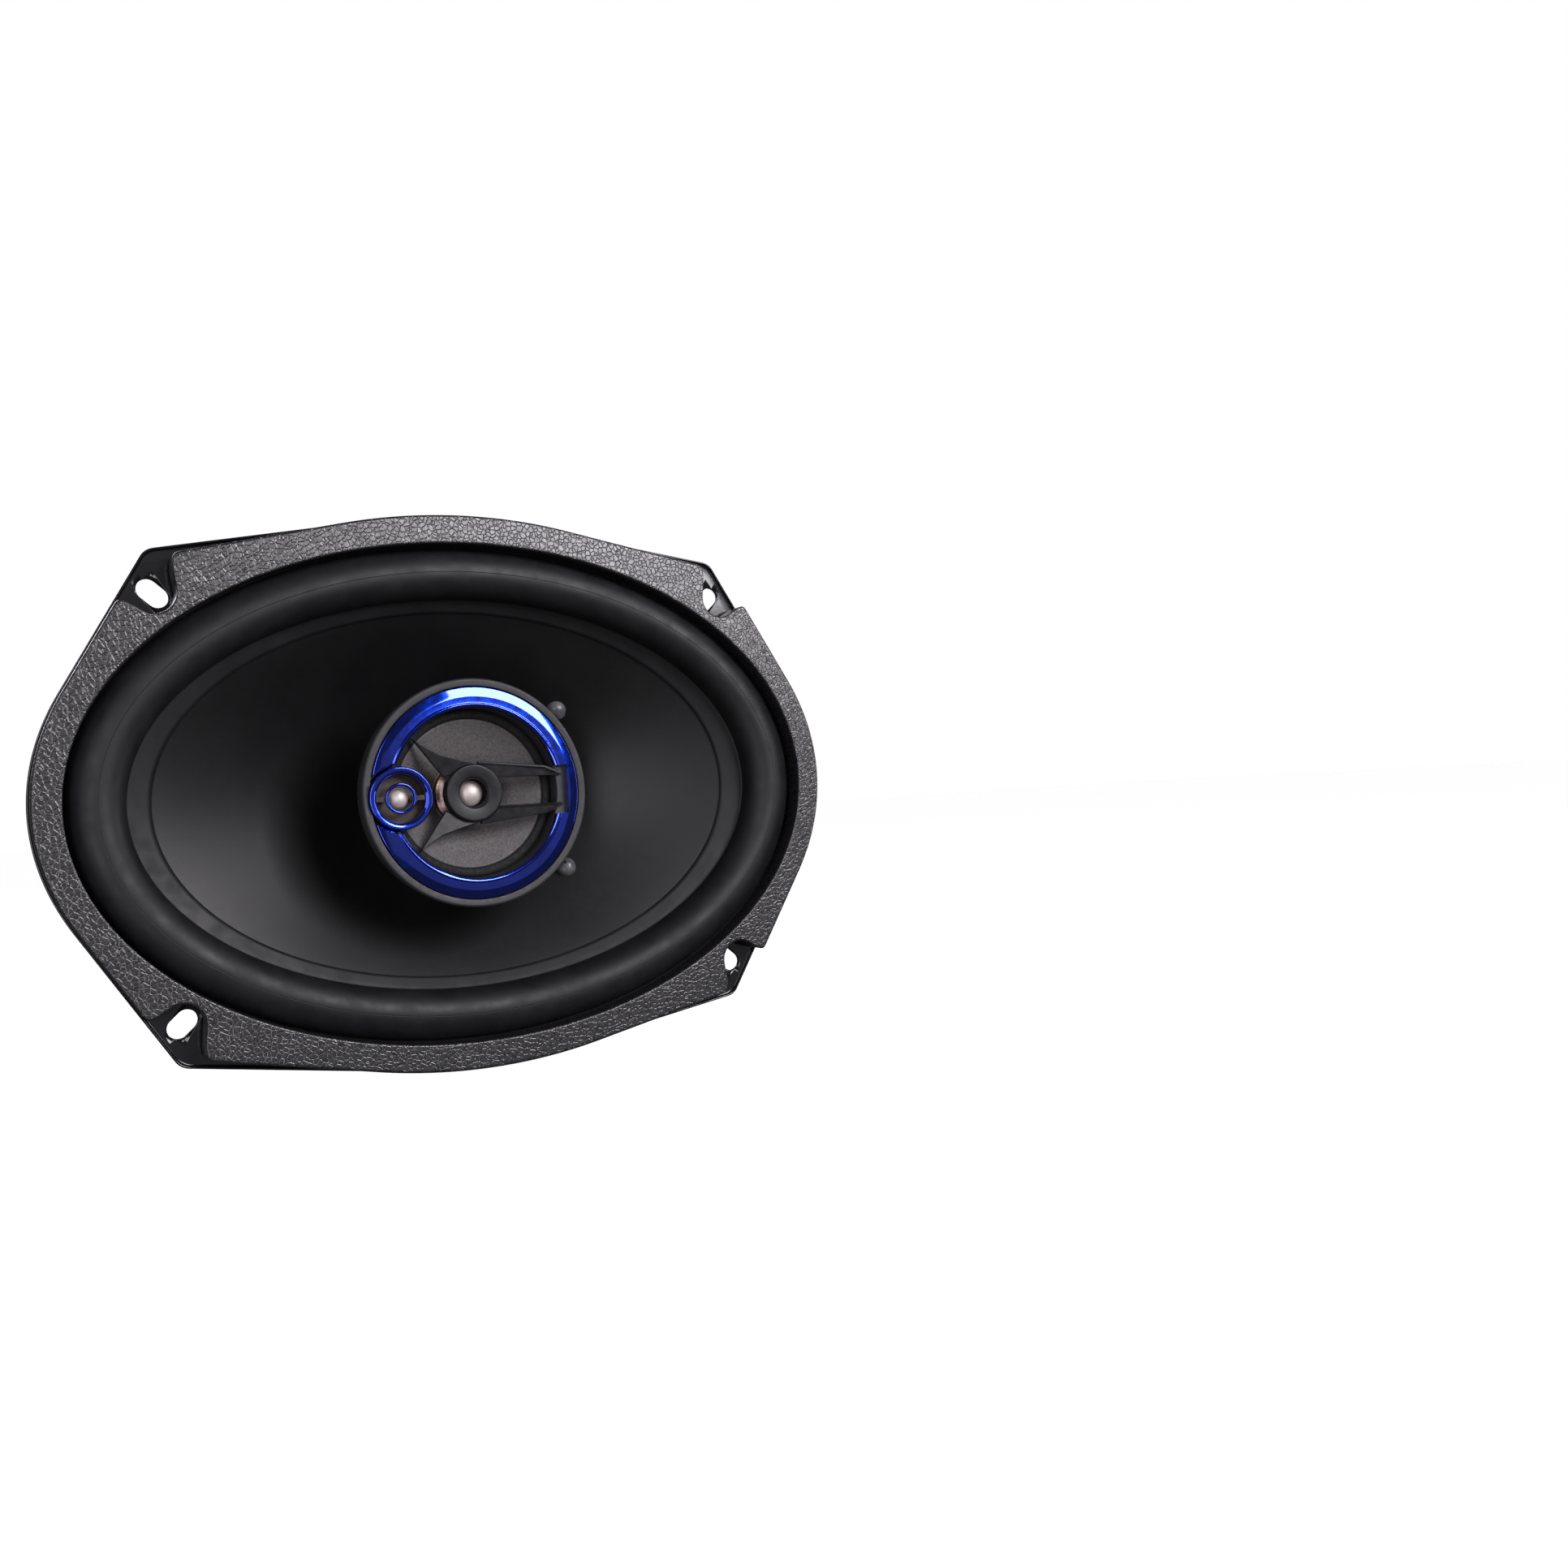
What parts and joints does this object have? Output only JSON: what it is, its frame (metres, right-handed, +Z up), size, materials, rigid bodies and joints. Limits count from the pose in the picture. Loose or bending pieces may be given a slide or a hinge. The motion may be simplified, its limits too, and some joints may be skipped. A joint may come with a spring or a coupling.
{
  "type": "coaxial car speaker",
  "caption": "Oval coaxial car speaker on a slotted pressed-steel flange, with a woofer cone on a rubber surround and a midrange and tweeter pod on a centre post.",
  "frame": {"origin": "on the speaker's axis, in the plane of the flange's mounting face", "axes": "+X along the long axis, +Z up along the short axis, the speaker fires towards -Y and its magnet is on the +Y side"},
  "size_m": [0.2352, 0.0871, 0.164],
  "materials": {
    "black_steel": "gloss black paint",
    "gasket_vinyl": "crinkled black vinyl",
    "surround_rubber": "satin black rubber",
    "cone_polymer": "satin black moulded cone",
    "former": "amber film former",
    "copper_wire": "enamelled winding",
    "spider_cloth": "corrugated resin-dipped cloth",
    "zinc_steel": "zinc plated",
    "ferrite": "ground dark grey ferrite",
    "black_plastic": "moulded black plastic",
    "bezel_plastic": "fine textured dark grey plastic",
    "blue_chrome": "blue metallised plastic",
    "mid_paper": "dark grey fibrous paper",
    "silver_film": "bright metallised film",
    "cap_sleeve": "shrink sleeve",
    "glue": "glossy black glue over a rivet",
    "braid": "braided tinsel wire",
    "board_fibre": "brown fibre board",
    "tinned_brass": "plated tab"
  },
  "bodies": {
    "frame": {"basket": "black_steel", "gasket": "gasket_vinyl", "surround": "surround_rubber", "spider": "spider_cloth", "front_plate": "zinc_steel", "magnet": "ferrite", "yoke": "zinc_steel", "plate_rivets": "zinc_steel", "pod_post": "black_plastic", "pod_bolt": "zinc_steel", "pod_cup": "black_plastic", "bezel": "bezel_plastic", "trim_ring": "blue_chrome", "mid_frame": "black_plastic", "mid_yoke": "zinc_steel", "mid_magnet": "zinc_steel", "mid_pole_plate": "zinc_steel", "mid_surround": "surround_rubber", "bridge": "black_plastic", "tweeter_body": "black_plastic", "tweeter_dome": "silver_film", "tweeter_magnet": "zinc_steel", "super_tweeter_body": "black_plastic", "super_tweeter_ring": "blue_chrome", "super_tweeter_inner_ring": "blue_chrome", "super_tweeter_dome": "silver_film", "capacitors": "cap_sleeve", "tinsel_leads": "braid", "pod_leads": "braid", "terminal_board": "board_fibre", "positive_terminal": "tinned_brass", "negative_terminal": "tinned_brass", "board_rivets": "zinc_steel"},
    "woofer_cone": {"cone": "cone_polymer", "voice_coil_former": "former", "voice_coil": "copper_wire", "cone_eyelets": "glue"},
    "midrange_cone": {"mid_cone": "mid_paper", "mid_dome": "silver_film", "mid_coil_former": "former", "mid_coil": "copper_wire"}
  },
  "joints": [
    {"name": "woofer_slide", "type": "slide", "parent": "frame", "child": "woofer_cone", "axis": [0, -1, 0], "range_m": [-0.004, 0.004], "stiffness_N_per_m": 3000, "deforming": ["surround", "spider", "tinsel_leads", "pod_leads"]},
    {"name": "midrange_slide", "type": "slide", "parent": "frame", "child": "midrange_cone", "axis": [0, -1, 0], "range_m": [-0.0005, 0.0005], "stiffness_N_per_m": 3000, "deforming": ["mid_surround"]}
  ]
}
